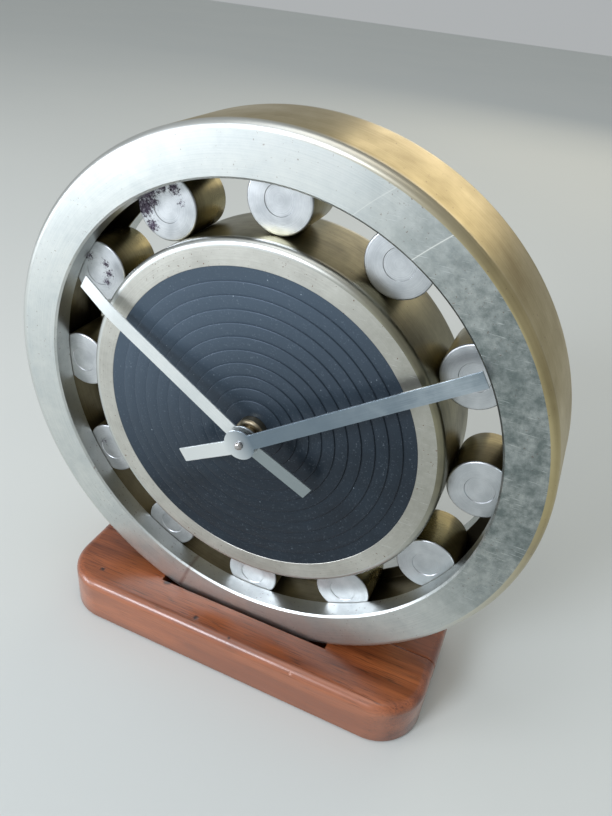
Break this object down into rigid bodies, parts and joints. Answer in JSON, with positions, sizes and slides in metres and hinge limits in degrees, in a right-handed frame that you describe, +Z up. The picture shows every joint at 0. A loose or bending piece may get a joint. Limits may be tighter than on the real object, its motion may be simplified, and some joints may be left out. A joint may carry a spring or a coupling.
{
  "type": "roller bearing desk clock",
  "caption": "Free-standing desk clock made from a large cylindrical roller bearing: rollers mark the hours round a black turned dial with plain bar hands, on a dark wooden base.",
  "frame": {"origin": "the middle of the base's underside", "axes": "+X to the viewer's right facing the dial, +Y to the back of the clock, +Z up; the clock's axis is parallel to Y at z = 130.5 mm"},
  "size_m": [0.23, 0.08, 0.2455],
  "materials": {
    "ring_steel": "ground satin bearing steel with light rust specks",
    "roller_steel": "ground satin bearing steel, browned on the barrel",
    "stained_wood": "red-brown stained hardwood under semi-gloss varnish",
    "black_dial": "turned matt blue-black",
    "black_rubber": "matt",
    "brass": "turned, slightly dulled",
    "satin_aluminium": "satin sheet with sheared edges",
    "bright_steel": "bright",
    "white_acetal": "moulded",
    "magnet_dark": "sintered",
    "soft_iron": "stamped",
    "copper_wire": "enamelled copper wire",
    "green_board": "solder-resist laminate",
    "cell_sleeve": "plain printed sleeve",
    "black_case": "moulded, fine grain"
  },
  "bodies": {
    "root": {"base_front_board": "stained_wood", "base_rear_board": "stained_wood", "outer_ring": "ring_steel", "inner_ring": "ring_steel", "dial_plate": "black_dial", "dial_washer": "black_rubber", "fixing_nut": "brass", "threaded_bush": "brass", "stator": "soft_iron", "coil_bobbin": "white_acetal", "coil_winding": "copper_wire", "coil_core": "soft_iron", "circuit_board": "green_board", "quartz_crystal": "bright_steel", "battery": "cell_sleeve", "battery_contact_positive": "bright_steel", "battery_contact_negative": "bright_steel", "movement_front_case": "black_case", "movement_back_cover": "black_case", "middle_plate": "white_acetal", "train_bridge": "white_acetal", "roller_01": "roller_steel", "roller_02": "roller_steel", "roller_03": "roller_steel", "roller_04": "roller_steel", "roller_05": "roller_steel", "roller_06": "roller_steel", "roller_07": "roller_steel", "roller_08": "roller_steel", "roller_09": "roller_steel", "roller_10": "roller_steel", "roller_11": "roller_steel", "roller_12": "roller_steel"},
    "minute": {"minute_arbor": "bright_steel", "minute_hand": "satin_aluminium"},
    "hour": {"hour_wheel": "white_acetal", "hour_hand": "satin_aluminium"},
    "minute_wheel_body": {"minute_wheel": "white_acetal"},
    "knob": {"setting_knob": "white_acetal"},
    "centre": {"centre_wheel": "white_acetal"},
    "third": {"third_wheel": "white_acetal"},
    "second": {"second_wheel": "white_acetal"},
    "intermediate": {"intermediate_wheel": "white_acetal"},
    "rotor_body": {"rotor": "magnet_dark"}
  },
  "joints": [
    {"name": "minute_spin", "type": "hinge", "parent": "root", "child": "minute", "pos_m": [0, 0, 0.1305], "axis": [0, 1, 0], "continuous": true},
    {"name": "hour_spin", "type": "hinge", "parent": "root", "child": "hour", "pos_m": [0, 0, 0.1305], "axis": [0, 1, 0], "continuous": true},
    {"name": "minute_wheel_spin", "type": "hinge", "parent": "root", "child": "minute_wheel_body", "pos_m": [-0.00846, 0, 0.13358], "axis": [0, 1, 0], "continuous": true},
    {"name": "knob_spin", "type": "hinge", "parent": "root", "child": "knob", "pos_m": [-0.01525, 0, 0.12701], "axis": [0, 1, 0], "continuous": true},
    {"name": "rotor_spin", "type": "hinge", "parent": "root", "child": "rotor_body", "pos_m": [-0.00196, 0, 0.14553], "axis": [0, 1, 0], "continuous": true},
    {"name": "intermediate_spin", "type": "hinge", "parent": "root", "child": "intermediate", "pos_m": [0.00246, 0, 0.14208], "axis": [0, 1, 0], "continuous": true},
    {"name": "second_spin", "type": "hinge", "parent": "root", "child": "second", "pos_m": [0.00846, 0, 0.14208], "axis": [0, 1, 0], "continuous": true},
    {"name": "third_spin", "type": "hinge", "parent": "root", "child": "third", "pos_m": [0.00846, 0, 0.13358], "axis": [0, 1, 0], "continuous": true},
    {"name": "centre_spin", "type": "hinge", "parent": "root", "child": "centre", "pos_m": [0, 0, 0.1305], "axis": [0, 1, 0], "continuous": true}
  ],
  "couplings": [
    {"joint": "hour_spin", "follows": "minute_spin", "ratio": 0.083333},
    {"joint": "minute_wheel_spin", "follows": "minute_spin", "ratio": -0.33333},
    {"joint": "knob_spin", "follows": "minute_spin", "ratio": 0.83333},
    {"joint": "intermediate_spin", "follows": "rotor_spin", "ratio": -0.16667},
    {"joint": "second_spin", "follows": "rotor_spin", "ratio": 0.033333},
    {"joint": "third_spin", "follows": "rotor_spin", "ratio": -0.0044444},
    {"joint": "centre_spin", "follows": "rotor_spin", "ratio": 0.00055556}
  ]
}
